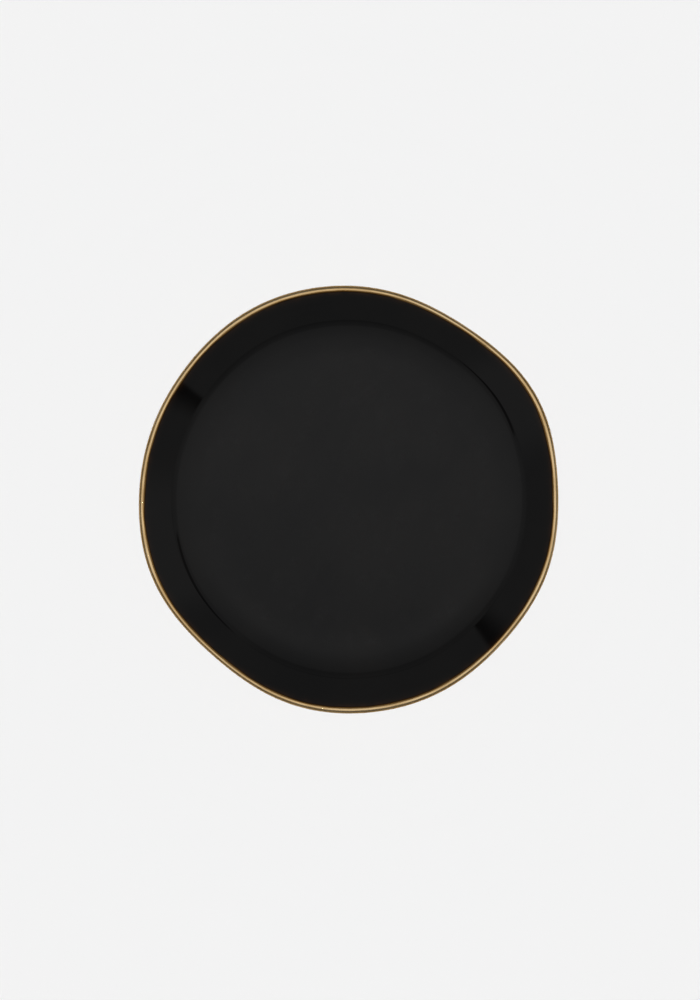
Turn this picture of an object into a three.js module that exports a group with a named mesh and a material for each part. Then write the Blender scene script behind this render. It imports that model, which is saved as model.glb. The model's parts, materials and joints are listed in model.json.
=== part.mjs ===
// A shallow hand-shaped ceramic serving tray: a bare stoneware body, a black glaze coat,
// a glazed recess under the foot and a gold lustre band over the lip.
// Millimetres, +Z up. The foot ring stands on z = 0 and the origin is under the middle of the outline.
import * as THREE from 'three';

// Driving dimensions
const RADIUS = 120;            // mean outside radius of the finished lip
const FLOOR_FLAT = 70;         // the serving floor is flat to this radius
const FLOOR_EDGE = 98.3;       // it then rises gently to here, where the crease begins
const EDGE_TILT = degrees(4.8); // slope of the floor where the crease begins
const FLOOR_TOP = 6;           // height of the glazed serving floor
const UNDERSIDE = 2.2;         // height of the glazed underside over the table
const CREASE_ROUND = 6.5;      // radius of the turn from floor to inside wall
const BASE_ROUND = 8;          // radius of the turn from underside to outside wall
const INSIDE_SLOPE = degrees(38);
const OUTSIDE_SLOPE = degrees(40);
const LIP_ROUND = 1.7;         // radius of the glazed lip
const FOOT_INNER = 78;         // bare contact face of the foot ring
const FOOT_OUTER = 82;
const FOOT_CHAMFER = 0.5;
const GLAZE_EDGE = 1.2;        // the glaze stops this high over the table
const GLAZE = 0.4;             // thickness of the glaze
const GOLD = 0.15;             // thickness given to the gold lustre
const SEAT = 0.1;              // clearance between one layer and the next
const GOLD_RUN_INSIDE = 0.9;   // how far the gold runs down the inside wall, past the lip's round
const GOLD_RUN_OUTSIDE = 1.1;

// How the edge was shaped by hand. A swell of n waves goes n times round the outline.
const OUTLINE_SWELLS = [
  { waves: 2, height: 0.85, crest: degrees(103) },
  { waves: 3, height: 0.25, crest: degrees(26) },
  { waves: 4, height: 1.0, crest: degrees(14) },
  { waves: 5, height: 0.5, crest: degrees(41) },
  { waves: 6, height: 0.45, crest: degrees(28) },
  { waves: 7, height: 0.25, crest: degrees(35) },
  { waves: 8, height: 0.4, crest: degrees(27) },
];
const LIP_LIFTS = [
  { waves: 2, height: 0.25, crest: degrees(40) },
  { waves: 3, height: 0.15, crest: degrees(10) },
];
const ROUND_RADIUS = 84.5;     // inside this radius the tray is truly round
const GROWTH = 1.6;            // how quickly the unevenness grows from there to the lip

const SEGMENTS = 64;           // facets round the tray
const LIP_STEPS = 5;
const CREASE_STEPS = 3;
const RISE_STEPS = 3;
const BASE_STEPS = 2;

const LIP_CENTRE_R = RADIUS - GOLD - SEAT - LIP_ROUND;
const FOOT_FLARE = 0.6;        // the foot's sides lean this much between the table and the underside

function degrees(angle) {
  return THREE.MathUtils.degToRad(angle);
}

function point(r, z) {
  return new THREE.Vector2(r, z);
}

// Points on a round turn, from one direction of its radius to another
function turn(centre, radius, from, to, steps) {
  const points = [];
  for (let i = 0; i <= steps; i += 1) {
    const angle = THREE.MathUtils.lerp(from, to, i / steps);
    points.push(point(centre.x + radius * Math.cos(angle), centre.y + radius * Math.sin(angle)));
  }
  return points;
}

// A curve parallel to an open profile, to its left by the given depth (negative goes to its right)
function parallel(profile, depth) {
  const normals = [];
  for (let i = 1; i < profile.length; i += 1) {
    const along = profile[i].clone().sub(profile[i - 1]).normalize();
    normals.push(point(-along.y, along.x));
  }
  return profile.map((corner, i) => {
    const before = normals[Math.max(i - 1, 0)];
    const after = normals[Math.min(i, normals.length - 1)];
    const middle = before.clone().add(after);
    return corner.clone().addScaledVector(middle, (2 * depth) / middle.lengthSq());
  });
}

// The serving floor's gentle rise towards the crease: level at its start, EDGE_TILT at its end
function floorHeight(r) {
  const width = FLOOR_EDGE - FLOOR_FLAT;
  return FLOOR_TOP + ((width * Math.tan(EDGE_TILT)) / 3) * ((r - FLOOR_FLAT) / width) ** 3;
}

// The glazed surface in section, with the clay on its left:
// foot's outer side, underside, outside wall, lip, inside wall, serving floor.
function glazeProfile() {
  const foot = [
    point(FOOT_OUTER + FOOT_CHAMFER + FOOT_FLARE + SEAT, GLAZE_EDGE),
    point(FOOT_OUTER + FOOT_CHAMFER + 2 * FOOT_FLARE + SEAT, UNDERSIDE),
  ];
  const creaseCentre = point(FLOOR_EDGE - CREASE_ROUND * Math.sin(EDGE_TILT), floorHeight(FLOOR_EDGE));
  creaseCentre.y += CREASE_ROUND * Math.cos(EDGE_TILT);
  const creaseFrom = INSIDE_SLOPE - Math.PI / 2;
  const crease = turn(creaseCentre, CREASE_ROUND, creaseFrom, EDGE_TILT - Math.PI / 2, CREASE_STEPS);

  const lipStartR = LIP_CENTRE_R - LIP_ROUND * Math.sin(INSIDE_SLOPE);
  const lipStartZ = crease[0].y + (lipStartR - crease[0].x) * Math.tan(INSIDE_SLOPE);
  const lipCentre = point(LIP_CENTRE_R, lipStartZ - LIP_ROUND * Math.cos(INSIDE_SLOPE));
  const lip = turn(lipCentre, LIP_ROUND, OUTSIDE_SLOPE - Math.PI / 2, INSIDE_SLOPE + Math.PI / 2, LIP_STEPS);

  const inward = point(-Math.cos(INSIDE_SLOPE), -Math.sin(INSIDE_SLOPE));
  const downward = point(-Math.cos(OUTSIDE_SLOPE), -Math.sin(OUTSIDE_SLOPE));
  const goldInside = lip.at(-1).clone().addScaledVector(inward, GOLD_RUN_INSIDE);
  const goldOutside = lip[0].clone().addScaledVector(downward, GOLD_RUN_OUTSIDE);

  const bendEndZ = UNDERSIDE + BASE_ROUND * (1 - Math.cos(OUTSIDE_SLOPE));
  const bendEndR = lip[0].x - (lip[0].y - bendEndZ) / Math.tan(OUTSIDE_SLOPE);
  const bendCentre = point(bendEndR - BASE_ROUND * Math.sin(OUTSIDE_SLOPE), UNDERSIDE + BASE_ROUND);
  const bend = turn(bendCentre, BASE_ROUND, -Math.PI / 2, OUTSIDE_SLOPE - Math.PI / 2, BASE_STEPS);

  const rise = [];
  for (let i = 1; i < RISE_STEPS; i += 1) {
    const r = THREE.MathUtils.lerp(FLOOR_EDGE, FLOOR_FLAT, i / RISE_STEPS);
    rise.push(point(r, floorHeight(r)));
  }

  return {
    surface: [
      ...foot,
      ...bend,
      bend.at(-1).clone().lerp(goldOutside, 0.5),
      goldOutside,
      ...lip,
      goldInside,
      goldInside.clone().lerp(crease[0], 0.5),
      ...crease,
      ...rise,
      point(FLOOR_FLAT, FLOOR_TOP),
      point(0, FLOOR_TOP),
    ],
    gilded: [goldOutside, ...lip, goldInside],
  };
}

// The glazed recess inside the foot ring, from the middle out to the foot's inner side
function wellProfile() {
  return [
    point(0, UNDERSIDE),
    point(FOOT_INNER - FOOT_CHAMFER - 2 * FOOT_FLARE - SEAT, UNDERSIDE),
    point(FOOT_INNER - FOOT_CHAMFER - FOOT_FLARE - SEAT, GLAZE_EDGE),
  ];
}

function contactProfile() {
  return [
    point(FOOT_INNER - FOOT_CHAMFER, FOOT_CHAMFER),
    point(FOOT_INNER, 0),
    point(FOOT_OUTER, 0),
    point(FOOT_OUTER + FOOT_CHAMFER, FOOT_CHAMFER),
  ];
}

// The closed section between two depths under a surface
function layer(profile, outer, inner) {
  return [...parallel(profile, outer), ...parallel(profile, inner).reverse()];
}

function swell(swells, angle) {
  return swells.reduce((sum, s) => sum + s.height * Math.cos(s.waves * (angle - s.crest)), 0);
}

// How much of the hand shaping shows at a radius: none up to the start, all of it at the lip
function growth(r, start) {
  return Math.max(0, (r - start) / (RADIUS - start)) ** GROWTH;
}

// Revolve a section about +Z, then give it the uneven hand-shaped edge
function revolve(section, ring) {
  const closed = ring ? [...section, section[0]] : section;
  const geometry = new THREE.LatheGeometry(closed, SEGMENTS);
  geometry.rotateX(Math.PI / 2);
  const position = geometry.attributes.position;
  for (let i = 0; i < position.count; i += 1) {
    const x = position.getX(i);
    const y = position.getY(i);
    const r = Math.hypot(x, y);
    if (r > ROUND_RADIUS) {
      const angle = Math.atan2(y, x);
      const stretch = 1 + (growth(r, ROUND_RADIUS) * swell(OUTLINE_SWELLS, angle)) / r;
      const lift = growth(r, FLOOR_EDGE) * swell(LIP_LIFTS, angle);
      position.setXYZ(i, x * stretch, y * stretch, position.getZ(i) + lift);
    }
  }
  geometry.computeVertexNormals();
  return geometry;
}

function piece(name, geometry, color, roughness, metalness) {
  const material = new THREE.MeshStandardMaterial({ color, roughness, metalness });
  const mesh = new THREE.Mesh(geometry, material);
  mesh.name = name;
  return mesh;
}

function stonewareBody(glazed, well) {
  const clay = GLAZE + SEAT;
  const section = [...parallel(well, clay), ...contactProfile(), ...parallel(glazed.surface, clay)];
  return piece('stoneware_body', revolve(section, false), 0x8f7f6c, 0.85, 0);
}

function glazeCoat(glazed) {
  return piece('glaze_coat', revolve(layer(glazed.surface, 0, GLAZE), true), 0x0b0b0b, 0.12, 0);
}

function footWellGlaze(well) {
  return piece('foot_well_glaze', revolve(layer(well, 0, GLAZE), true), 0x0b0b0b, 0.18, 0);
}

function goldRimBand(glazed) {
  const section = layer(glazed.gilded, -SEAT - GOLD, -SEAT);
  return piece('gold_rim_band', revolve(section, true), 0xc9a46a, 0.28, 1);
}

const tray = new THREE.Group();
const glazed = glazeProfile();
const well = wellProfile();
tray.add(stonewareBody(glazed, well));
tray.add(glazeCoat(glazed));
tray.add(footWellGlaze(well));
tray.add(goldRimBand(glazed));

// Put the middle of the uneven outline over the origin
const middle = new THREE.Box3().setFromObject(tray).getCenter(new THREE.Vector3());
tray.position.set(-middle.x, -middle.y, 0);

export default tray;
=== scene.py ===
# A shallow hand-shaped serving tray in black-glazed stoneware with a gold lustre lip,
# lying on a plain pale floor and seen from straight above. Metres throughout, +Z up.
import json
import math

import bmesh
import bpy
import numpy as np
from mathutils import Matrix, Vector, noise


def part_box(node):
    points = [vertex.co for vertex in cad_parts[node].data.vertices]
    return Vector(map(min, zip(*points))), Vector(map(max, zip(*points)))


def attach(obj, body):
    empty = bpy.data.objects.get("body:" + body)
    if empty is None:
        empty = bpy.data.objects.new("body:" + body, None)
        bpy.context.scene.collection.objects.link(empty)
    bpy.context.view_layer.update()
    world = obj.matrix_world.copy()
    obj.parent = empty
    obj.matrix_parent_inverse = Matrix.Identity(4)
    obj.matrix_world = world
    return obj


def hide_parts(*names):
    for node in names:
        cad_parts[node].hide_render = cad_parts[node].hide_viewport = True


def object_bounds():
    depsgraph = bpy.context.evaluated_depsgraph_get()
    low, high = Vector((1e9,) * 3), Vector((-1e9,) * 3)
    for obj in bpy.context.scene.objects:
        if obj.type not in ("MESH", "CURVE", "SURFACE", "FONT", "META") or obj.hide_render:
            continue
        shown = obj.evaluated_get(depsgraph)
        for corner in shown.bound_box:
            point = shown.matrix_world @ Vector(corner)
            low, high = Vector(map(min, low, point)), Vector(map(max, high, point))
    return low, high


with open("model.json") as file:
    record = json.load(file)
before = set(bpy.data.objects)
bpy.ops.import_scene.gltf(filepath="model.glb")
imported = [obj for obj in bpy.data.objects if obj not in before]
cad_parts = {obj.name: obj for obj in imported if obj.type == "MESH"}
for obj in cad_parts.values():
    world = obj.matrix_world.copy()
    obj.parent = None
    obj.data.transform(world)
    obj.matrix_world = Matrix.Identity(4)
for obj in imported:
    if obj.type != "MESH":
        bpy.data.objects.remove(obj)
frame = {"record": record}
CAD_LOW, CAD_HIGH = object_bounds()

MM = 0.001
QUARTER = math.pi / 2

# The tray's section, as the frame has it
OUTER_RADIUS = 120 * MM
FLOOR_FLAT = 70 * MM
FLOOR_EDGE = 98.3 * MM
EDGE_TILT = math.radians(4.8)
CREASE_ROUND = 6.5 * MM
BASE_ROUND = 8 * MM
INSIDE_SLOPE = math.radians(38)
OUTSIDE_SLOPE = math.radians(40)
LIP_ROUND = 1.7 * MM
UNDERSIDE = 2.2 * MM
FOOT_INNER = 78 * MM
FOOT_OUTER = 82 * MM
FOOT_CHAMFER = 0.5 * MM
FOOT_FLARE = 0.6 * MM
GLAZE_EDGE = 1.2 * MM
GLAZE = 0.4 * MM
SEAT = 0.1 * MM
GOLD = 0.15 * MM
GOLD_RUN_INSIDE = 0.9 * MM
GOLD_RUN_OUTSIDE = 1.1 * MM
FLOOR_TOP = next(m["pos_m"][2] for m in frame["record"]["mounts"] if m["name"] == "serving_floor")

# How the edge was shaped by hand: waves round the outline, height and the angle of a crest
OUTLINE_SWELLS = [
    (2, 0.85 * MM, 103),
    (3, 0.25 * MM, 26),
    (4, 1.0 * MM, 14),
    (5, 0.5 * MM, 41),
    (6, 0.45 * MM, 28),
    (7, 0.25 * MM, 35),
    (8, 0.4 * MM, 27),
]
LIP_LIFTS = [
    (2, 0.25 * MM, 40),
    (3, 0.15 * MM, 10),
]
ROUND_RADIUS = 84.5 * MM
GROWTH = 1.6

# Where the foot's sides meet the underside, the glaze pools in a small fillet
FOOT_LEAN = np.array((0.514, 0.857))    # unit direction up the foot's outer side
OUTER_FILLET = 1 * MM
INNER_FILLET = 0.9 * MM
FILLET_DOWN = 0.7                       # a fillet's share of its size down the foot's side

# How finely the sections and the outline are divided
AROUND = 384
ROUND_STEPS = 24                        # the lip's and the crease's rounds
BASE_STEPS = 12
FILLET_STEPS = 8
UNDERSIDE_STEPS = 8
OUTSIDE_STEPS = 12
INSIDE_STEPS = 14
RISE_POINTS = 20
FLAT_POINTS = 22
WELL_POINTS = 24
GOLD_STEPS = 28
INNER_START = 8                         # the glaze's hidden side skips its first points
INNER_STRIDE = 5                        # and then takes one in this many
EDGE_ROLL_POINTS = 8

ANGLES = np.linspace(0, 2 * math.pi, AROUND, endpoint=False)
WELL_LOW, WELL_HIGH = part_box("foot_well_glaze")
CENTRE = (WELL_LOW + WELL_HIGH) / 2

# The glaze's slow waves: height and the distance between them
COAT_WAVES = [(0.022 * MM, 36 * MM), (0.003 * MM, 10 * MM)]
WELL_WAVES = [(0.03 * MM, 26 * MM)]
THIN_AT_GOLD = 1.2 * MM                 # how soon the glaze is at full depth again
THIN_AT_FOOT = 1.0 * MM

# The lustre is a film on the glaze, which swells a little to carry it
GOLD_FILM = 0.03 * MM
GOLD_SINK = 0.012 * MM
GOLD_SHY = 0.095 * MM                   # how far the film's face stays inside the frame's gold
GOLD_SWELL = GOLD + SEAT - GOLD_FILM - GOLD_SHY
GOLD_FADE = 4 * MM
FILM_EDGE = 0.12                        # the film thins over this share of its width at each edge
FILM_THINNEST = 0.15                    # and to this share of its thickness
OUTER_WANDER = 0.5 * MM                 # how far its painted edges wander
INNER_WANDER = 0.45 * MM
OUTER_SEED = 3.1
INNER_SEED = 8.7
WANDER_COARSE = 6
WANDER_FINE = 17
FINE_SHARE = 0.5                        # the fine wander's size against the coarse one's
FINE_SEED = 5

# The bare contact face is rounded over at both edges
CONTACT_LEAN = 0.5 * FOOT_CHAMFER
CONTACT_RISE = 2.2 * FOOT_CHAMFER
CONTACT_TURN = 0.2 * MM
CONTACT_STEPS = 4


# ---------------------------------------------------------------- section curves

def turn(centre, radius, start, end, steps):
    angles = np.linspace(start, end, steps + 1)
    return np.c_[centre[0] + radius * np.cos(angles), centre[1] + radius * np.sin(angles)]


def straight(start, end, steps):
    """The points strictly between two ends."""
    return np.linspace(start, end, steps + 1)[1:-1]


def bend(start, corner, end, steps):
    t = np.linspace(0, 1, steps + 1)[:, None]
    start, corner, end = map(np.asarray, (start, corner, end))
    return (1 - t) ** 2 * start + 2 * t * (1 - t) * corner + t ** 2 * end


def floor_height(r):
    width = FLOOR_EDGE - FLOOR_FLAT
    rise = width * math.tan(EDGE_TILT) / 3
    return FLOOR_TOP + rise * np.clip((r - FLOOR_FLAT) / width, 0, 1) ** 3


class Section:
    """An open curve in (radius, height) with the clay on its left, walked by arc length."""

    def __init__(self, points):
        self.points = np.asarray(points)
        steps = np.diff(self.points, axis=0)
        lengths = np.hypot(*steps.T)
        self.s = np.r_[0, np.cumsum(lengths)]
        along = np.gradient(self.points, self.s, axis=0)
        along /= np.hypot(*along.T)[:, None]
        self.left = np.c_[-along[:, 1], along[:, 0]]

    def at(self, s, depth=0.0):
        """Points at arc lengths s, this deep into the clay (negative stands proud)."""
        place = [np.interp(s, self.s, self.points[:, i]) for i in (0, 1)]
        left = [np.interp(s, self.s, self.left[:, i]) for i in (0, 1)]
        return place[0] + depth * left[0], place[1] + depth * left[1]


def foot_side():
    """The foot's outer side, and the fillet that turns it into the underside."""
    low = (FOOT_OUTER + FOOT_CHAMFER + FOOT_FLARE + SEAT, GLAZE_EDGE)
    top = (low[0] + FOOT_FLARE, UNDERSIDE)
    side_end = np.array(top) - OUTER_FILLET * FILLET_DOWN * FOOT_LEAN
    under_start = (top[0] + OUTER_FILLET, UNDERSIDE)
    return np.vstack([[low], bend(side_end, top, under_start, FILLET_STEPS)])


def crease_round():
    """The turn from the inside wall to the floor's outer edge."""
    centre_r = FLOOR_EDGE - CREASE_ROUND * math.sin(EDGE_TILT)
    centre_z = floor_height(FLOOR_EDGE) + CREASE_ROUND * math.cos(EDGE_TILT)
    start, end = INSIDE_SLOPE - QUARTER, EDGE_TILT - QUARTER
    return turn((centre_r, centre_z), CREASE_ROUND, start, end, ROUND_STEPS)


def lip_round(crease):
    """The turn over the lip, from the outside wall to the inside one that meets the crease."""
    lip_r = OUTER_RADIUS - GOLD - SEAT - LIP_ROUND
    wall_r = lip_r - LIP_ROUND * math.sin(INSIDE_SLOPE)
    wall_z = crease[0][1] + (wall_r - crease[0][0]) * math.tan(INSIDE_SLOPE)
    centre = (lip_r, wall_z - LIP_ROUND * math.cos(INSIDE_SLOPE))
    start, end = OUTSIDE_SLOPE - QUARTER, INSIDE_SLOPE + QUARTER
    return turn(centre, LIP_ROUND, start, end, ROUND_STEPS)


def base_round(lip):
    """The turn from the underside to the outside wall, which meets the lip."""
    end_z = UNDERSIDE + BASE_ROUND * (1 - math.cos(OUTSIDE_SLOPE))
    end_r = lip[0][0] - (lip[0][1] - end_z) / math.tan(OUTSIDE_SLOPE)
    centre = (end_r - BASE_ROUND * math.sin(OUTSIDE_SLOPE), UNDERSIDE + BASE_ROUND)
    return turn(centre, BASE_ROUND, -QUARTER, OUTSIDE_SLOPE - QUARTER, BASE_STEPS)


def glaze_section():
    """The whole glazed section, and the arc lengths where the lip's round starts and ends."""
    foot = foot_side()
    crease = crease_round()
    lip = lip_round(crease)
    base = base_round(lip)
    rise = np.linspace(FLOOR_EDGE, FLOOR_FLAT, RISE_POINTS)[1:]
    flat = np.linspace(FLOOR_FLAT, 0, FLAT_POINTS)[1:]
    before_lip = [
        foot,
        straight(foot[-1], base[0], UNDERSIDE_STEPS),
        base,
        straight(base[-1], lip[0], OUTSIDE_STEPS),
    ]
    after_lip = [
        straight(lip[-1], crease[0], INSIDE_STEPS),
        crease,
        np.c_[rise, floor_height(rise)],
        np.c_[flat, np.full(len(flat), FLOOR_TOP)],
    ]
    section = Section(np.vstack([*before_lip, lip, *after_lip]))
    first = sum(len(stretch) for stretch in before_lip)
    return section, section.s[first], section.s[first + len(lip) - 1]


def well_section():
    """The glazed recess inside the foot ring, from the middle out."""
    top = (FOOT_INNER - FOOT_CHAMFER - 2 * FOOT_FLARE - SEAT, UNDERSIDE)
    low = (top[0] + FOOT_FLARE, GLAZE_EDGE)
    start = (top[0] - INNER_FILLET, UNDERSIDE)
    end = np.array(top) + INNER_FILLET * FILLET_DOWN * FOOT_LEAN * (1, -1)
    flat = np.linspace(0, start[0], WELL_POINTS)[:-1]
    return Section(np.vstack([
        np.c_[flat, np.full(len(flat), UNDERSIDE)],
        bend(start, top, end, FILLET_STEPS),
        [low],
    ]))


# ---------------------------------------------------------------- hand shaping and meshes

def swell(swells, angle):
    return sum(h * np.cos(n * (angle - math.radians(crest))) for n, h, crest in swells)


def growth(r, start):
    """How much of the hand shaping shows at a radius: none up to the start, all at the lip."""
    return np.clip((r - start) / (OUTER_RADIUS - start), 0, None) ** GROWTH


def place(r, z):
    """Rings of points, one row for each (r, z) and one column for each angle, shaped by hand."""
    r = np.broadcast_to(np.asarray(r, float).reshape(len(r), -1), (len(r), len(ANGLES)))
    z = np.broadcast_to(np.asarray(z, float).reshape(len(z), -1), r.shape)
    out = r + growth(r, ROUND_RADIUS) * swell(OUTLINE_SWELLS, ANGLES)
    up = z + growth(r, FLOOR_EDGE) * swell(LIP_LIFTS, ANGLES)
    x = CENTRE.x + out * np.cos(ANGLES)
    y = CENTRE.y + out * np.sin(ANGLES)
    return np.stack([x, y, up], axis=-1)


def band_faces(rows, count, closed):
    """Four-sided faces between neighbouring rings, and back to the first ring if closed."""
    faces = []
    for i in range(rows if closed else rows - 1):
        below, above = i * count, ((i + 1) % rows) * count
        for j in range(count):
            k = (j + 1) % count
            faces.append((below + j, below + k, above + k, above + j))
    return faces


def pole_faces(rows, count):
    """Triangles from the first ring and the last one to the two poles that follow the rings."""
    first, last = rows * count, rows * count + 1
    top = (rows - 1) * count
    faces = []
    for j in range(count):
        k = (j + 1) % count
        faces.append((first, k, j))
        faces.append((last, top + j, top + k))
    return faces


def add_attribute(mesh, name, values, closed):
    """One number for each vertex, from a grid of them."""
    inner = values if closed else values[1:-1]
    flat = inner.ravel() if closed else np.r_[inner.ravel(), values[0, 0], values[-1, 0]]
    layer = mesh.attributes.new(name, "FLOAT", "POINT")
    layer.data.foreach_set("value", flat.astype(np.float32))


def face_outwards(mesh):
    bm = bmesh.new()
    bm.from_mesh(mesh)
    bmesh.ops.recalc_face_normals(bm, faces=bm.faces)
    bm.to_mesh(mesh)
    bm.free()


def build(name, rings, closed=False, **attributes):
    """One closed mesh from rings. Unless they close on themselves, the first and last are poles."""
    body = rings if closed else rings[1:-1]
    vertices = body.reshape(-1, 3)
    rows, count = body.shape[:2]
    faces = band_faces(rows, count, closed)
    if not closed:
        vertices = np.vstack([vertices, rings[0][0], rings[-1][0]])
        faces += pole_faces(rows, count)
    mesh = bpy.data.meshes.new(name)
    mesh.from_pydata(vertices.tolist(), [], faces)
    for key, values in attributes.items():
        add_attribute(mesh, key, np.broadcast_to(values, rings.shape[:2]), closed)
    face_outwards(mesh)
    mesh.shade_smooth()
    piece = bpy.data.objects.new(name, mesh)
    bpy.context.scene.collection.objects.link(piece)
    return piece


def ripple(rings, normals, sizes):
    """Moves rings along normals by soft noise: sizes are (height, distance between ripples)."""
    moved = rings.copy()
    for i, ring in enumerate(rings):
        for j, p in enumerate(ring):
            lift = sum(h * noise.noise(Vector(p) / wave) for h, wave in sizes)
            moved[i, j] = p + lift * normals[i, j]
    return moved


def ring_normals(rings):
    """Unit normals of a grid of rings: the way round each ring crossed with the way to the next."""
    round_it = np.roll(rings, -1, axis=1) - np.roll(rings, 1, axis=1)
    along = np.gradient(rings, axis=0)
    normals = np.cross(round_it, along)
    lengths = np.linalg.norm(normals, axis=-1, keepdims=True)
    return normals / np.maximum(lengths, 1e-12)


# ---------------------------------------------------------------- the pieces

GLAZED, LIP_START, LIP_END = glaze_section()
GOLD_LOW = LIP_START - GOLD_RUN_OUTSIDE
GOLD_HIGH = LIP_END + GOLD_RUN_INSIDE
WELL = well_section()


def past_gold(s):
    """How far arc length s is beyond the gold's nearer edge: 0 under the gold."""
    return np.maximum(np.maximum(GOLD_LOW - s, s - GOLD_HIGH), 0)


def gold_swell(s):
    """How far the glaze swells out under the gold at arc length s, fading away beyond its edges."""
    t = np.clip(1 - past_gold(s) / GOLD_FADE, 0, 1)
    return GOLD_SWELL * t * t * (3 - 2 * t)


def wander(seed, height):
    """A hand-painted edge's wander round the tray, the same length as ANGLES."""
    def wave(scale, level):
        points = [Vector((scale * math.cos(a), scale * math.sin(a), level)) for a in ANGLES]
        return np.array([noise.noise(point) for point in points])

    return height * (wave(WANDER_COARSE, seed) + FINE_SHARE * wave(WANDER_FINE, seed + FINE_SEED))


def hidden_lengths():
    """The fewer arc lengths that the glaze's hidden side and the clay under it need."""
    s = GLAZED.s
    return np.r_[s[0], s[INNER_START:-1:INNER_STRIDE], s[-1]]


def glaze_edge():
    """The coat's rounded edge over the foot, from its hidden side to its shown one."""
    middle = np.array(GLAZED.at(GLAZED.s[0], GLAZE / 2))
    left = GLAZED.left[0]
    along = np.array((left[1], -left[0]))
    angles = np.linspace(0, math.pi, EDGE_ROLL_POINTS)[1:-1]
    points = [middle + GLAZE / 2 * (math.cos(a) * left - math.sin(a) * along) for a in angles]
    return place(*np.array(points).T)


def glaze_coat():
    s = GLAZED.s
    outer = place(*GLAZED.at(s, -gold_swell(s)))
    outer[:-1] = ripple(outer[:-1], ring_normals(outer)[:-1], COAT_WAVES)
    inner = place(*GLAZED.at(hidden_lengths(), GLAZE))[::-1]
    edge = glaze_edge()
    thin = np.maximum(np.exp(-past_gold(s) / THIN_AT_GOLD), np.exp(-(s - s[0]) / THIN_AT_FOOT))
    ring_thin = np.r_[np.zeros(len(inner)), np.ones(len(edge)), thin][:, None]
    return build("glaze_coat_fired", np.concatenate([inner, edge, outer]), thin=ring_thin)


def foot_well_glaze():
    s = WELL.s
    lower = place(*WELL.at(s))
    lower[1:] = ripple(lower[1:], -ring_normals(lower)[1:], WELL_WAVES)
    upper = place(*WELL.at(s[::-1], GLAZE))
    thin = np.exp(-(s[-1] - s) / THIN_AT_FOOT)
    ring_thin = np.r_[thin, np.zeros(len(upper))][:, None]
    return build("foot_well_glaze_fired", np.concatenate([lower, upper]), thin=ring_thin)


def contact_edge(radius, outward):
    """The contact face's rounded edge at a radius, from the clay's side to the face."""
    return bend(
        (radius + outward * (FOOT_CHAMFER + CONTACT_LEAN), CONTACT_RISE),
        (radius + outward * (FOOT_CHAMFER - CONTACT_TURN), 0),
        (radius - outward * FOOT_CHAMFER, 0),
        FILLET_STEPS,
    )


def stoneware_body():
    clay = GLAZE + SEAT
    well = np.array(WELL.at(WELL.s, clay)).T
    inner_edge = contact_edge(FOOT_INNER, -1)
    outer_edge = contact_edge(FOOT_OUTER, 1)[::-1]
    face = straight(inner_edge[-1], outer_edge[0], CONTACT_STEPS)
    coat = np.array(GLAZED.at(hidden_lengths(), clay)).T
    section = np.vstack([well, inner_edge, face, outer_edge, coat])
    return build("stoneware_body_fired", place(*section.T))


def gold_rim_band():
    across = np.linspace(0, 1, GOLD_STEPS + 1)[:, None]
    low = GOLD_LOW + wander(OUTER_SEED, OUTER_WANDER)
    high = GOLD_HIGH + wander(INNER_SEED, INNER_WANDER)
    s = low + (high - low) * across
    film = GOLD_FILM * np.clip(np.minimum(across, 1 - across) / FILM_EDGE, FILM_THINNEST, 1)
    top = GLAZED.at(s, -gold_swell(s) - film)
    under = GLAZED.at(s[::-1], -gold_swell(s[::-1]) + GOLD_SINK)
    rings = np.concatenate([place(*top), place(*under)])
    brush = np.r_[across, across[::-1]]
    return build("gold_rim_band_painted", rings, closed=True, across=brush)


# ---------------------------------------------------------------- materials

GLAZE_DEEP = (0.0022, 0.0022, 0.0023)
GLAZE_PALE = (0.0034, 0.0032, 0.0031)
GLAZE_BREAK = (0.020, 0.009, 0.004)
GOLD_BRIGHT = (0.84, 0.61, 0.33)
GOLD_DEEP = (0.66, 0.44, 0.20)
# Painted shade: a dark brown for the gold's outer half, partly the lustre thinning towards its
# outer edge, mostly standing in for the dark surroundings mirrored there
GOLD_SHADED_OUTSIDE = (0.30, 0.175, 0.045)
GOLD_AMBER = (0.66, 0.36, 0.105)
# The gold's edges: thin lustre browns there, and this darkness is also painted shade for the dark
# surroundings those edges mirror
GOLD_THIN_AND_SHADED = (0.11, 0.045, 0.010)
CLAY_DARK = (0.30, 0.235, 0.165)
CLAY_LIGHT = (0.45, 0.37, 0.28)
CLAY_SPECK = (0.07, 0.045, 0.03)
GLAZE_IOR = 1.5
GOLD_METALLIC = 0.95
CLAY_SPECULAR = 0.3
COAT_ROUGHNESS = (0.045, 0.075)
WELL_ROUGHNESS = (0.10, 0.18)
GOLD_ROUGHNESS = (0.30, 0.21)
CLAY_ROUGHNESS = (0.78, 0.95)

# How many features of each noise go to a metre
MOTTLE_SCALE = 22
BREAK_SCALE = 160
GLOSS_SCALE = 60
PEEL_SCALE = 420
PIT_SCALE = 60
PATCH_SCALE = 28
CLAY_SCALE = 90
SPECK_SCALE = 700
SAND_SCALE = 1900

# The stretch of a noise, or of the distance from a cell's middle, over which a look fades in
NOISE_SPAN = (0.3, 0.7)
MOTTLE_SPAN = (0.35, 0.65)
TONE_SPAN = (0.32, 0.65)
PIT_SPAN = (0.0, 0.02)
SPECK_SPAN = (0.2, 0.1)
LEAST_BREAK = 0.25                      # how brown the thin glaze is where it is least so
PATCH_SHARE = 0.5                       # the patches' strength against the streaks'

PEEL_HEIGHT = 0.004 * MM
PIT_DEPTH = 0.01 * MM
STREAK_HEIGHT = 0.02 * MM
SAND_HEIGHT = 0.05 * MM
STREAKS_ALONG = 60                      # brush marks per metre along the lip
STREAKS_ACROSS = 7.0                    # and across the whole band

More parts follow.
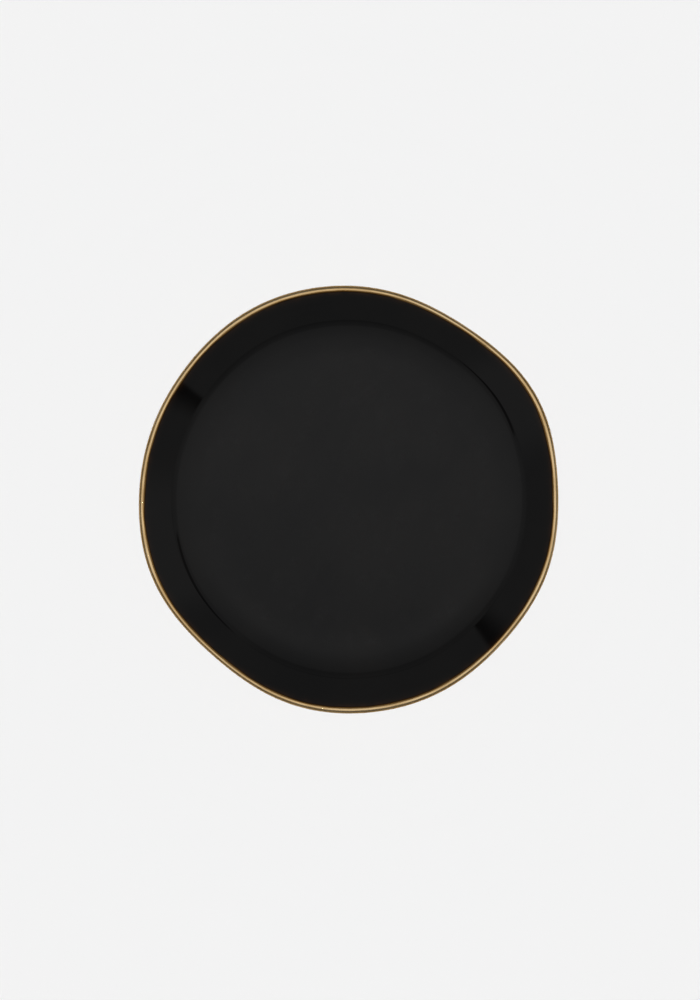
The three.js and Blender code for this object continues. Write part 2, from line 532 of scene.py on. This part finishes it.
# Bands across the gold, from its outer edge at 0 to its inner edge at 1: where each fades in
# painted shade: the gold's outer half is darkened, standing in for the dark surroundings it mirrors
SHADED_OUTSIDE_BAND = (0.67, 0.47)
AMBER_BAND = (0.78, 0.87)
# the gold's thin edges, browned by thin lustre and darkened further as painted shade
THIN_SHADED_INSIDE = (0.86, 0.96)
THIN_SHADED_OUTSIDE = (0.12, 0.0)


def add(tree, kind, values=(), links=(), **settings):
    """A new node with its settings, input values and input links."""
    made = tree.nodes.new(kind)
    for key, value in settings.items():
        setattr(made, key, value)
    for key, value in dict(values).items():
        made.inputs[key].default_value = value
    for key, socket in dict(links).items():
        tree.links.new(socket, made.inputs[key])
    return made


def feed(tree, socket, value):
    """Sets a socket to a number, or links another socket to it."""
    if isinstance(value, (int, float)):
        socket.default_value = value
    else:
        tree.links.new(value, socket)


def grain(tree, place_in, scale, detail=2.0, roughness=0.5):
    values = {"Scale": scale, "Detail": detail, "Roughness": roughness}
    return add(tree, "ShaderNodeTexNoise", values, {"Vector": place_in}).outputs["Fac"]


def cells(tree, place_in, scale):
    """The distance from the middle of each of many scattered cells."""
    made = add(tree, "ShaderNodeTexVoronoi", {"Scale": scale}, {"Vector": place_in})
    return made.outputs["Distance"]


def remap(tree, value, low, high, to_low=0.0, to_high=1.0, kind="SMOOTHSTEP"):
    values = {"From Min": low, "From Max": high, "To Min": to_low, "To Max": to_high}
    made = add(tree, "ShaderNodeMapRange", values, {"Value": value}, interpolation_type=kind)
    return made.outputs["Result"]


def math_node(tree, operation, *values):
    made = add(tree, "ShaderNodeMath", operation=operation)
    for socket, value in zip(made.inputs, values):
        feed(tree, socket, value)
    return made.outputs[0]


def mix_values(tree, factor, first, second):
    """first where the factor is 0, second where it is 1."""
    made = add(tree, "ShaderNodeMix", data_type="FLOAT")
    for socket, value in zip(made.inputs[0:1] + made.inputs[2:4], (factor, first, second)):
        feed(tree, socket, value)
    return made.outputs[0]


def mix_colour(tree, factor, first, second):
    made = add(tree, "ShaderNodeMix", data_type="RGBA")
    tree.links.new(factor, made.inputs[0])
    for socket, value in ((made.inputs[6], first), (made.inputs[7], second)):
        if isinstance(value, tuple):
            socket.default_value = (*value, 1)
        else:
            tree.links.new(value, socket)
    return made.outputs[2]


def bump(tree, height, distance, before=None):
    links = {"Height": height}
    if before is not None:
        links["Normal"] = before
    values = {"Strength": 1.0, "Distance": distance}
    return add(tree, "ShaderNodeBump", values, links).outputs["Normal"]


def attribute(tree, name):
    return add(tree, "ShaderNodeAttribute", attribute_name=name).outputs["Fac"]


def new_material(name):
    made = bpy.data.materials.new(name)
    made.use_nodes = True
    tree = made.node_tree
    where = add(tree, "ShaderNodeTexCoord").outputs["Object"]
    return made, tree, tree.nodes["Principled BSDF"], where


def finish_shader(tree, shader, colour, roughness, normal):
    tree.links.new(colour, shader.inputs["Base Color"])
    tree.links.new(roughness, shader.inputs["Roughness"])
    tree.links.new(normal, shader.inputs["Normal"])


def black_glaze(name, roughness_range):
    """Deep black gloss, a little mottled, breaking to brown where the coat runs thin."""
    made, tree, shader, where = new_material(name)
    shader.inputs["IOR"].default_value = GLAZE_IOR
    mottle = remap(tree, grain(tree, where, MOTTLE_SCALE, detail=3), *MOTTLE_SPAN)
    body = mix_colour(tree, mottle, GLAZE_DEEP, GLAZE_PALE)
    uneven = grain(tree, where, BREAK_SCALE, detail=3)
    uneven = remap(tree, uneven, *NOISE_SPAN, LEAST_BREAK, 1.0)
    broken = math_node(tree, "MULTIPLY", attribute(tree, "thin"), uneven)
    colour = mix_colour(tree, broken, body, GLAZE_BREAK)
    gloss = grain(tree, where, GLOSS_SCALE, detail=4)
    roughness = remap(tree, gloss, *NOISE_SPAN, *roughness_range)
    peel = bump(tree, grain(tree, where, PEEL_SCALE, detail=1), PEEL_HEIGHT)
    pits = remap(tree, cells(tree, where, PIT_SCALE), *PIT_SPAN)
    finish_shader(tree, shader, colour, roughness, bump(tree, pits, PIT_DEPTH, before=peel))
    return made


def brush_streaks(tree, where, across):
    """Noise drawn out along the lip: it changes slowly along the band and quickly across it."""
    scale = {1: (STREAKS_ALONG, STREAKS_ALONG, 0)}
    flat = add(tree, "ShaderNodeVectorMath", scale, {0: where}, operation="MULTIPLY").outputs[0]
    level = math_node(tree, "MULTIPLY", across, STREAKS_ACROSS)
    raised = add(tree, "ShaderNodeCombineXYZ", {}, {"Z": level}).outputs[0]
    brush = add(tree, "ShaderNodeVectorMath", {}, {0: flat, 1: raised}, operation="ADD").outputs[0]
    return grain(tree, brush, scale=1.0, detail=4, roughness=0.6)


def gold_lustre():
    """Fired gold, brushed on by hand: streaks along the lip and brown, thin edges, with the outer
    half and the edges darkened as painted shade for the dark surroundings they mirror.
    """
    made, tree, shader, where = new_material("gold_lustre_paint")
    shader.inputs["Metallic"].default_value = GOLD_METALLIC
    across = attribute(tree, "across")
    streaks = brush_streaks(tree, where, across)
    patches = math_node(tree, "SUBTRACT", grain(tree, where, PATCH_SCALE), 0.5)
    tone = math_node(tree, "ADD", streaks, math_node(tree, "MULTIPLY", patches, PATCH_SHARE))
    colour = mix_colour(tree, remap(tree, tone, *TONE_SPAN), GOLD_DEEP, GOLD_BRIGHT)
    # painted shade: the outer half of the band is darkened to stand in for the dark surroundings it
    # mirrors
    colour = mix_colour(tree, remap(tree, across, *SHADED_OUTSIDE_BAND), colour, GOLD_SHADED_OUTSIDE)
    colour = mix_colour(tree, remap(tree, across, *AMBER_BAND), colour, GOLD_AMBER)
    # the thin edges brown, and their darkness is partly painted shade for mirrored dark
    # surroundings
    inner = remap(tree, across, *THIN_SHADED_INSIDE)
    outer = remap(tree, across, *THIN_SHADED_OUTSIDE)
    colour = mix_colour(tree, math_node(tree, "MAXIMUM", inner, outer), colour, GOLD_THIN_AND_SHADED)
    roughness = remap(tree, streaks, *NOISE_SPAN, *GOLD_ROUGHNESS)
    finish_shader(tree, shader, colour, roughness, bump(tree, streaks, STREAK_HEIGHT))
    return made


def bare_clay():
    """Buff stoneware left bare on the foot ring, with iron specks and a sandy grain."""
    made, tree, shader, where = new_material("bare_stoneware_clay")
    shader.inputs["Specular IOR Level"].default_value = CLAY_SPECULAR
    tone = remap(tree, grain(tree, where, CLAY_SCALE, detail=5), *NOISE_SPAN)
    body = mix_colour(tree, tone, CLAY_DARK, CLAY_LIGHT)
    specks = remap(tree, cells(tree, where, SPECK_SCALE), *SPECK_SPAN)
    colour = mix_colour(tree, specks, body, CLAY_SPECK)
    sand = grain(tree, where, SAND_SCALE, detail=3)
    roughness = remap(tree, sand, *NOISE_SPAN, *CLAY_ROUGHNESS)
    finish_shader(tree, shader, colour, roughness, bump(tree, sand, SAND_HEIGHT))
    return made


# ---------------------------------------------------------------- camera and floor

CAMERA_HEIGHT = 3.0
CAMERA_X = 0.7932 * MM                  # it looks straight down, a little off the tray's middle
CAMERA_Y = -0.22663 * MM
VIEW_HEIGHT = 566.572 * MM              # what the picture takes in from top to bottom, at the lip
SENSOR = 36.0
CLIP_END = 200.0
FLOOR_HALF = 40.0
FLOOR_WHITE = (0.9, 0.9, 0.9, 1)


def make_camera():
    data = bpy.data.cameras.new("camera")
    data.sensor_width = SENSOR
    data.lens = SENSOR * (CAMERA_HEIGHT - CAD_HIGH.z) / VIEW_HEIGHT
    data.clip_end = CLIP_END
    camera = bpy.data.objects.new("camera", data)
    camera.location = (CAMERA_X, CAMERA_Y, CAMERA_HEIGHT)
    bpy.context.scene.collection.objects.link(camera)
    bpy.context.scene.camera = camera


def make_floor():
    mesh = bpy.data.meshes.new("floor")
    corners = [(x * FLOOR_HALF, y * FLOOR_HALF, 0) for x, y in ((-1, -1), (1, -1), (1, 1), (-1, 1))]
    mesh.from_pydata(corners, [], [(0, 1, 2, 3)])
    floor = bpy.data.objects.new("floor", mesh)
    bpy.context.scene.collection.objects.link(floor)
    made = bpy.data.materials.new("pale_floor")
    made.use_nodes = True
    shader = made.node_tree.nodes["Principled BSDF"]
    shader.inputs["Base Color"].default_value = FLOOR_WHITE
    shader.inputs["Roughness"].default_value = 1.0
    shader.inputs["Specular IOR Level"].default_value = 0.0
    mesh.materials.append(made)


# ---------------------------------------------------------------- lights

TOP_LIGHT = 3.015
KEY_SHARE = 0.7                         # the rest is a fill that throws no shadow
TOP_SPREAD = math.radians(5)
TOP_HEIGHT = 2.0
GOLD_LIGHT_SIZE = (0.86, 0.58)
GOLD_LIGHT_HEIGHT = 0.55
GOLD_LIGHT_POWER = 0.73
GLOW_HEIGHT = 120 * MM
GLOW_RADIUS = 110 * MM
GLOW_SLOPE = 0.28                       # how much brighter each metre towards +Y
GLOW_FADE = 0.8                         # its edge is soft from this share of its radius
GLOW_SIDES = 48


def make_top_light(name, energy, shadow):
    """A light straight overhead, which lights the floor and isn't mirrored in the tray."""
    data = bpy.data.lights.new(name, "SUN")
    data.energy = energy
    data.angle = TOP_SPREAD
    data.use_shadow = shadow
    light = bpy.data.objects.new(name, data)
    light.location = (0, 0, TOP_HEIGHT)
    light.visible_glossy = False
    bpy.context.scene.collection.objects.link(light)


def make_gold_light(gold):
    """A broad oval panel overhead, which lights only the gold and gives it its bright ridge."""
    data = bpy.data.lights.new("gold_light", "AREA")
    data.shape = "ELLIPSE"
    data.size, data.size_y = GOLD_LIGHT_SIZE
    data.energy = GOLD_LIGHT_POWER
    light = bpy.data.objects.new("gold_light", data)
    light.location = (0, 0, GOLD_LIGHT_HEIGHT)
    light.visible_camera = False
    bpy.context.scene.collection.objects.link(light)
    lit = bpy.data.collections.new("lit_by_gold_light")
    lit.objects.link(gold)
    light.light_linking.receiver_collection = lit


def near_glow_material():
    """Clear, with a faint light of its own that grows towards +Y and fades at the rim."""
    made = bpy.data.materials.new("near_glow")
    made.use_nodes = True
    tree = made.node_tree
    tree.nodes.remove(tree.nodes["Principled BSDF"])
    where = add(tree, "ShaderNodeTexCoord").outputs["Object"]
    y = add(tree, "ShaderNodeSeparateXYZ", {}, {"Vector": where}).outputs["Y"]
    length = add(tree, "ShaderNodeVectorMath", {}, {0: where}, operation="LENGTH").outputs["Value"]
    rising = math_node(tree, "MULTIPLY", math_node(tree, "ADD", y, GLOW_RADIUS), GLOW_SLOPE)
    soft = remap(tree, length, GLOW_FADE * GLOW_RADIUS, GLOW_RADIUS, 1.0, 0.0)
    strength = math_node(tree, "MULTIPLY", rising, soft)
    light = add(tree, "ShaderNodeEmission", {}, {"Strength": strength})
    clear = add(tree, "ShaderNodeBsdfTransparent")
    both = add(tree, "ShaderNodeAddShader", {}, {0: light.outputs[0], 1: clear.outputs[0]})
    tree.links.new(both.outputs[0], tree.nodes["Material Output"].inputs["Surface"])
    return made


def make_near_glow():
    """A faint graded card close over the tray, which only reflections see."""
    steps = np.linspace(0, 2 * math.pi, GLOW_SIDES, endpoint=False)
    rim = [(GLOW_RADIUS * math.cos(a), GLOW_RADIUS * math.sin(a), 0) for a in steps]
    mesh = bpy.data.meshes.new("near_glow")
    mesh.from_pydata(rim, [], [tuple(range(len(rim)))])
    mesh.materials.append(near_glow_material())
    card = bpy.data.objects.new("near_glow", mesh)
    card.location = (0, 0, GLOW_HEIGHT)
    bpy.context.scene.collection.objects.link(card)
    for ray in ("camera", "diffuse", "transmission", "volume_scatter", "shadow"):
        setattr(card, "visible_" + ray, False)


# ---------------------------------------------------------------- the studio round the tray

BACKDROP = 0.896                        # what the camera sees past the floor
DIFFUSE_SHARE = 0.3                     # how much of the studio's light falls on the floor

# Brightness of the panel overhead, the studio's upper part, its low walls and the horizon
ZENITH = 0.297
AMBIENT = 0.092
SIDE = 0.14
HORIZON = 0.25
WING_LIFT = 0.06                        # how much the wings add to the upper part
SIDE_LIFT = 0.06                        # how much the brighter sides add to the low walls

# The panel overhead, by the sines of the angles from the zenith where it has begun to fade
PANEL_REACH_X = 0.21
PANEL_REACH_Y = 0.105
PANEL_FALL = -1.2
PANEL_TILT = 2.8                        # how much brighter it is towards +Y, near the zenith
TILT_FADE = (1.2, 4.0)                  # degrees from the zenith: the tilt fades between them

# Where the horizon's glow and the low walls begin and finish fading, in degrees over the horizon
HORIZON_TOP = (0.5, 6.0)
LOW_TOP = (20.0, 21.5)

# Stretches of azimuth in degrees from +X: start, end, and how softly each begins and ends
BRIGHT_SIDES = [(-13, 43, 14, 14), (186, 236, 14, 14)]
WINGS = [(-45, 62, 30, 22), (138, 242, 25, 22)]
DARK_GAPS = [(-34.7, -25.0, 1.0, 8.5), (134.5, 144.2, 1.0, 8.5)]
DARK_BARS = [(9.5, 50, 3, 4), (199, 234, 3, 4)]
AZIMUTH_START = 90.0                    # azimuths run from this many degrees before +X

# The dark bars' height at azimuths 0 and 180, and how much lower they are for each degree after
BAR_HIGH = 61.0
BAR_SLOPE = 0.82
BAR_HALF_WIDTH = (9.0, 15.0)            # degrees from its middle line: it fades between them


def stretches(tree, azimuth, ranges):
    """1 within any of the ranges of azimuth and 0 outside them. There are two ranges."""
    windows = []
    for start, end, soft_start, soft_end in ranges:
        rise = remap(tree, azimuth, start, start + soft_start)
        fall = remap(tree, azimuth, end - soft_end, end, 1.0, 0.0)
        windows.append(math_node(tree, "MULTIPLY", rise, fall))
    return math_node(tree, "ADD", *windows)


def less(tree, value, share):
    """The value with this share of it taken away."""
    return math_node(tree, "MULTIPLY", value, math_node(tree, "SUBTRACT", 1.0, share))


def lifted(tree, base, height, where):
    """A base value, raised by this height where another value is 1."""
    return math_node(tree, "ADD", base, math_node(tree, "MULTIPLY", where, height))


def compass(tree, x, y, z):
    """A direction's azimuth and its height over the horizon, in degrees."""
    to_degrees = 180 / math.pi
    azimuth = math_node(tree, "MULTIPLY", math_node(tree, "ARCTAN2", y, x), to_degrees)
    azimuth = math_node(tree, "ADD", azimuth, AZIMUTH_START)
    azimuth = math_node(tree, "FLOORED_MODULO", azimuth, 360.0)
    azimuth = math_node(tree, "SUBTRACT", azimuth, AZIMUTH_START)
    height = math_node(tree, "MULTIPLY", math_node(tree, "ARCSINE", z), to_degrees)
    return azimuth, height


def low_walls(tree, azimuth):
    """The studio's low walls: two brighter sides, and two narrow dark gaps between the flats."""
    walls = lifted(tree, SIDE, SIDE_LIFT, stretches(tree, azimuth, BRIGHT_SIDES))
    return less(tree, walls, stretches(tree, azimuth, DARK_GAPS))


def upper_walls(tree, azimuth, height):
    """The studio above its low walls: two brighter wings with a dark sloping bar across each."""
    walls = lifted(tree, AMBIENT, WING_LIFT, stretches(tree, azimuth, WINGS))
    half_turn = math_node(tree, "FLOORED_MODULO", azimuth, 180.0)
    drop = math_node(tree, "MULTIPLY", half_turn, BAR_SLOPE)
    off_bar = math_node(tree, "SUBTRACT", height, math_node(tree, "SUBTRACT", BAR_HIGH, drop))
    across = remap(tree, math_node(tree, "ABSOLUTE", off_bar), *BAR_HALF_WIDTH, 1.0, 0.0)
    along = stretches(tree, azimuth, DARK_BARS)
    return less(tree, walls, math_node(tree, "MULTIPLY", along, across))


def overhead_panel(tree, x, y, height):
    """The panel's brightness, and how much of it shows: 1 at the zenith, fading away from there."""
    off_zenith = math_node(tree, "SUBTRACT", 90.0, height)
    near = remap(tree, off_zenith, *TILT_FADE, 1.0, 0.0)
    tilt = math_node(tree, "MULTIPLY", math_node(tree, "MULTIPLY", y, near), PANEL_TILT)
    panel = math_node(tree, "MULTIPLY", math_node(tree, "ADD", 1.0, tilt), ZENITH)
    across = math_node(tree, "POWER", math_node(tree, "DIVIDE", x, PANEL_REACH_X), 2.0)
    along = math_node(tree, "POWER", math_node(tree, "DIVIDE", y, PANEL_REACH_Y), 2.0)
    spread = math_node(tree, "ADD", 1.0, math_node(tree, "ADD", across, along))
    return panel, math_node(tree, "POWER", spread, PANEL_FALL)


def make_surroundings():
    """The dim studio that the tray mirrors: walls by direction, and a panel overhead."""
    world = bpy.data.worlds.new("studio")
    bpy.context.scene.world = world
    world.use_nodes = True
    tree = world.node_tree
    way = add(tree, "ShaderNodeTexCoord").outputs["Generated"]
    x, y, z = add(tree, "ShaderNodeSeparateXYZ", {}, {"Vector": way}).outputs
    azimuth, height = compass(tree, x, y, z)
    is_low = remap(tree, height, *LOW_TOP, 1.0, 0.0)
    upper = upper_walls(tree, azimuth, height)
    around = mix_values(tree, is_low, upper, low_walls(tree, azimuth))
    panel, glow = overhead_panel(tree, x, y, height)
    around = mix_values(tree, glow, around, panel)
    around = mix_values(tree, remap(tree, height, *HORIZON_TOP, 1.0, 0.0), around, HORIZON)

    rays = add(tree, "ShaderNodeLightPath").outputs
    bounced = math_node(tree, "MULTIPLY", around, DIFFUSE_SHARE)
    strength = mix_values(tree, rays["Is Diffuse Ray"], around, bounced)
    strength = mix_values(tree, rays["Is Camera Ray"], strength, BACKDROP)
    background = tree.nodes["Background"]
    background.inputs["Color"].default_value = (1, 1, 1, 1)
    tree.links.new(strength, background.inputs["Strength"])


# ---------------------------------------------------------------- putting it together

def show(piece, node, material):
    piece.data.materials.append(material)
    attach(piece, "root")
    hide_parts(node)


make_camera()
show(stoneware_body(), "stoneware_body", bare_clay())
coat_look = black_glaze("black_glaze_gloss", COAT_ROUGHNESS)
show(glaze_coat(), "glaze_coat", coat_look)
well_look = black_glaze("foot_well_glaze_gloss", WELL_ROUGHNESS)
show(foot_well_glaze(), "foot_well_glaze", well_look)
gold = gold_rim_band()
show(gold, "gold_rim_band", gold_lustre())

make_floor()
make_top_light("key", KEY_SHARE * TOP_LIGHT, True)
make_top_light("fill", (1 - KEY_SHARE) * TOP_LIGHT, False)
make_gold_light(gold)
make_near_glow()
make_surroundings()
bpy.context.scene.view_settings.view_transform = "Standard"
